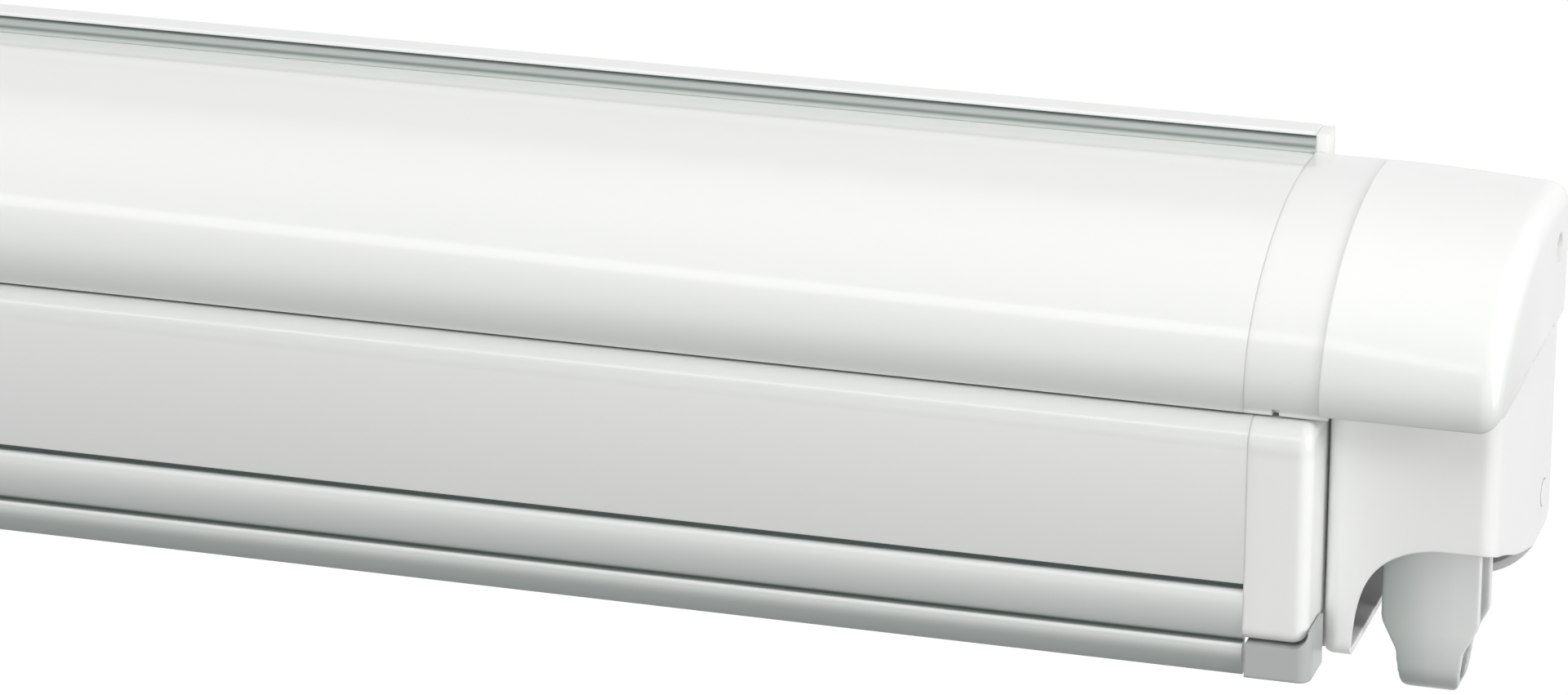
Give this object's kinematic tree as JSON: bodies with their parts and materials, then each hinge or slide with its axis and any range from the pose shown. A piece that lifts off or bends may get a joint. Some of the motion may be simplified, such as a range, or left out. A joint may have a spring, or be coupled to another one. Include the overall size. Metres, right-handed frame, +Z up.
{
  "type": "roll out awning",
  "caption": "Wall cassette awning with hand winch: curved case, end caps, lead bar, folding arms, canopy roller and stowed telescopic support legs, shown closed.",
  "frame": {"origin": "middle of the wall face, at mid-length on the back plane of the case", "axes": "+X along the case towards the winch end, +Y into the wall, +Z up; the front looks along -Y"},
  "size_m": [2.624, 0.1049, 0.1518],
  "materials": {
    "white_coat": "gloss",
    "white_plastic": "gloss",
    "arm_coat": "satin",
    "cast_metal": "satin",
    "gearbox_plastic": "matte",
    "steel": "satin",
    "bearing_plastic": "matte",
    "bronze": "satin",
    "tube_metal": "satin",
    "leg_metal": "satin",
    "leg_fittings": "matte",
    "seal_rubber": "matte",
    "canopy_fabric": "matte",
    "hem_plastic": "matte"
  },
  "bodies": {
    "case": {"case_back": "white_coat", "case_hood": "white_coat", "hood_seal": "seal_rubber", "right_end_cap": "white_plastic", "left_end_cap": "white_plastic", "right_end_frame": "cast_metal", "left_end_frame": "cast_metal", "gearbox_housing": "gearbox_plastic", "gearbox_cover": "gearbox_plastic", "gearbox_screws": "steel", "drive_bush": "bearing_plastic", "idle_bush": "bearing_plastic", "end_cap_screws": "white_coat", "case_screws": "steel", "right_shoulder_bracket": "cast_metal", "left_shoulder_bracket": "cast_metal", "shoulder_pins": "steel"},
    "roller": {"roller_tube": "tube_metal", "canopy_roll": "canopy_fabric", "drive_plug": "steel", "idle_plug": "bearing_plastic", "worm_wheel": "bronze"},
    "winch_shaft": {"worm_shaft": "steel", "tilt_pin": "steel"},
    "winch_eye": {"winch_eye": "white_plastic"},
    "canopy": {"canopy_sheet": "canopy_fabric"},
    "lead_bar": {"lead_bar_profile": "white_coat", "lower_rail": "white_coat", "canopy_hem_rod": "hem_plastic", "right_lead_bar_cap": "white_plastic", "left_lead_bar_cap": "white_plastic", "right_corner_piece": "white_plastic", "left_corner_piece": "white_plastic", "wrist_brackets": "cast_metal", "wrist_pins": "steel", "leg_brackets": "leg_fittings"},
    "right_upper_arm": {"right_upper_arm_tube": "arm_coat", "right_shoulder_knuckle": "cast_metal", "right_elbow_fork": "cast_metal", "right_elbow_pin": "steel"},
    "right_forearm": {"right_forearm_tube": "arm_coat", "right_elbow_knuckle": "cast_metal", "right_wrist_knuckle": "cast_metal"},
    "right_leg": {"right_leg_outer_tube": "leg_metal", "right_leg_lock_collar": "leg_fittings"},
    "right_leg_extension": {"right_leg_inner_tube": "leg_metal"},
    "right_leg_lever": {"right_leg_lock_lever": "leg_fittings"},
    "right_foot": {"right_leg_foot": "leg_fittings"},
    "left_upper_arm": {"left_upper_arm_tube": "arm_coat", "left_shoulder_knuckle": "cast_metal", "left_elbow_fork": "cast_metal", "left_elbow_pin": "steel"},
    "left_forearm": {"left_forearm_tube": "arm_coat", "left_elbow_knuckle": "cast_metal", "left_wrist_knuckle": "cast_metal"},
    "left_leg": {"left_leg_outer_tube": "leg_metal", "left_leg_lock_collar": "leg_fittings"},
    "left_leg_extension": {"left_leg_inner_tube": "leg_metal"},
    "left_leg_lever": {"left_leg_lock_lever": "leg_fittings"},
    "left_foot": {"left_leg_foot": "leg_fittings"}
  },
  "joints": [
    {"name": "right_arm_open", "type": "hinge", "parent": "case", "child": "right_upper_arm", "pos_m": [1.15, -0.028, -0.042], "axis": [0, 0, 1], "range_deg": [0, 72]},
    {"name": "right_elbow", "type": "hinge", "parent": "right_upper_arm", "child": "right_forearm", "pos_m": [0.1, -0.044, -0.042], "axis": [0, 0, 1], "range_deg": [-144, 0]},
    {"name": "right_wrist", "type": "hinge", "parent": "right_forearm", "child": "lead_bar", "pos_m": [1.15, -0.06, -0.042], "axis": [0, 0, 1], "range_deg": [0, 72]},
    {"name": "left_arm_open", "type": "hinge", "parent": "case", "child": "left_upper_arm", "pos_m": [-1.15, -0.028, -0.042], "axis": [0, 0, 1], "range_deg": [-72, 0]},
    {"name": "left_elbow", "type": "hinge", "parent": "left_upper_arm", "child": "left_forearm", "pos_m": [-0.1, -0.044, -0.042], "axis": [0, 0, 1], "range_deg": [0, 144]},
    {"name": "roller_turn", "type": "hinge", "parent": "case", "child": "roller", "pos_m": [0, -0.0388, 0.02], "axis": [1, 0, 0], "range_deg": [-4372, 0]},
    {"name": "winch_turn", "type": "hinge", "parent": "case", "child": "winch_shaft", "pos_m": [1.288, -0.058, 0.02], "axis": [0, 0, 1], "range_deg": [-30601, 0]},
    {"name": "eye_tilt", "type": "hinge", "parent": "winch_shaft", "child": "winch_eye", "pos_m": [1.288, -0.058, -0.046], "axis": [0, 1, 0], "range_deg": [-20, 20]},
    {"name": "canopy_draw", "type": "slide", "parent": "case", "child": "canopy", "axis": [0, -1, 0], "range_m": [0, 1.9751], "deforming": ["canopy_sheet"]},
    {"name": "right_leg_fold", "type": "hinge", "parent": "lead_bar", "child": "right_leg", "pos_m": [1.222, -0.0904, -0.0547], "axis": [0, -1, 0], "range_deg": [0, 90]},
    {"name": "right_leg_extend", "type": "slide", "parent": "right_leg", "child": "right_leg_extension", "axis": [-1, 0, 0], "range_m": [0, 0.9]},
    {"name": "right_leg_lock", "type": "hinge", "parent": "right_leg", "child": "right_leg_lever", "pos_m": [0.1, -0.0904, -0.06605], "axis": [0, 1, 0], "range_deg": [0, 90]},
    {"name": "right_foot_swivel", "type": "hinge", "parent": "right_leg_extension", "child": "right_foot", "pos_m": [0.072, -0.0904, -0.0547], "axis": [0, 1, 0], "range_deg": [-15, 15]},
    {"name": "left_leg_fold", "type": "hinge", "parent": "lead_bar", "child": "left_leg", "pos_m": [-1.222, -0.0904, -0.0317], "axis": [0, 1, 0], "range_deg": [0, 90]},
    {"name": "left_leg_extend", "type": "slide", "parent": "left_leg", "child": "left_leg_extension", "axis": [1, 0, 0], "range_m": [0, 0.9]},
    {"name": "left_leg_lock", "type": "hinge", "parent": "left_leg", "child": "left_leg_lever", "pos_m": [-0.1, -0.0904, -0.04305], "axis": [0, -1, 0], "range_deg": [0, 90]},
    {"name": "left_foot_swivel", "type": "hinge", "parent": "left_leg_extension", "child": "left_foot", "pos_m": [-0.072, -0.0904, -0.0317], "axis": [0, 1, 0], "range_deg": [-15, 15]}
  ],
  "couplings": [
    {"joint": "right_elbow", "follows": "right_arm_open", "ratio": -2},
    {"joint": "right_wrist", "follows": "right_arm_open", "ratio": 1},
    {"joint": "left_arm_open", "follows": "right_arm_open", "ratio": -1},
    {"joint": "left_elbow", "follows": "right_arm_open", "ratio": 2},
    {"joint": "roller_turn", "follows": "right_arm_open", "ratio": -60.714},
    {"joint": "winch_turn", "follows": "right_arm_open", "ratio": -425},
    {"joint": "canopy_draw", "follows": "right_arm_open", "m_per_rad": 1.5716}
  ]
}
